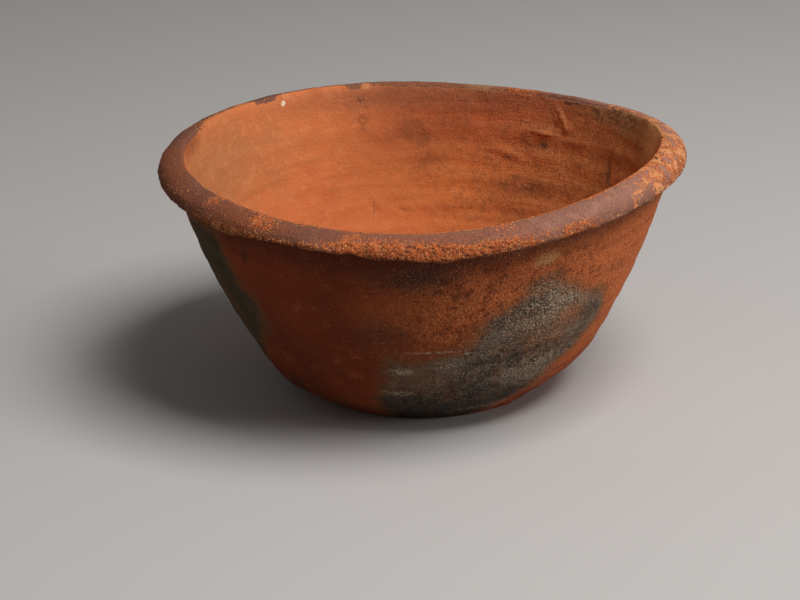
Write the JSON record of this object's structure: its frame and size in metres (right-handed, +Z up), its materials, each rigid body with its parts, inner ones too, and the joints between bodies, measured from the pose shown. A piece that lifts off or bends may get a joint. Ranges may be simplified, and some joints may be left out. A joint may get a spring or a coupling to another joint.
{
  "type": "earthenware bowl",
  "caption": "Flared unglazed earthenware bowl with a flat pared foot, a bellied thrown wall and a thick rolled rim lapped over its edge; free-standing, open at the top.",
  "frame": {"origin": "middle of the foot's flat resting face", "axes": "+Z up along the bowl's axis, +X to the right and +Y away from the viewer in the picture"},
  "size_m": [0.25, 0.25, 0.122],
  "materials": {
    "fired_clay": "unglazed, sandy, matt",
    "rim_slip": "worn brown slip over sandy clay, matt"
  },
  "bodies": {
    "root": {"vessel_body": "fired_clay", "rim_strip": "rim_slip"}
  },
  "joints": []
}
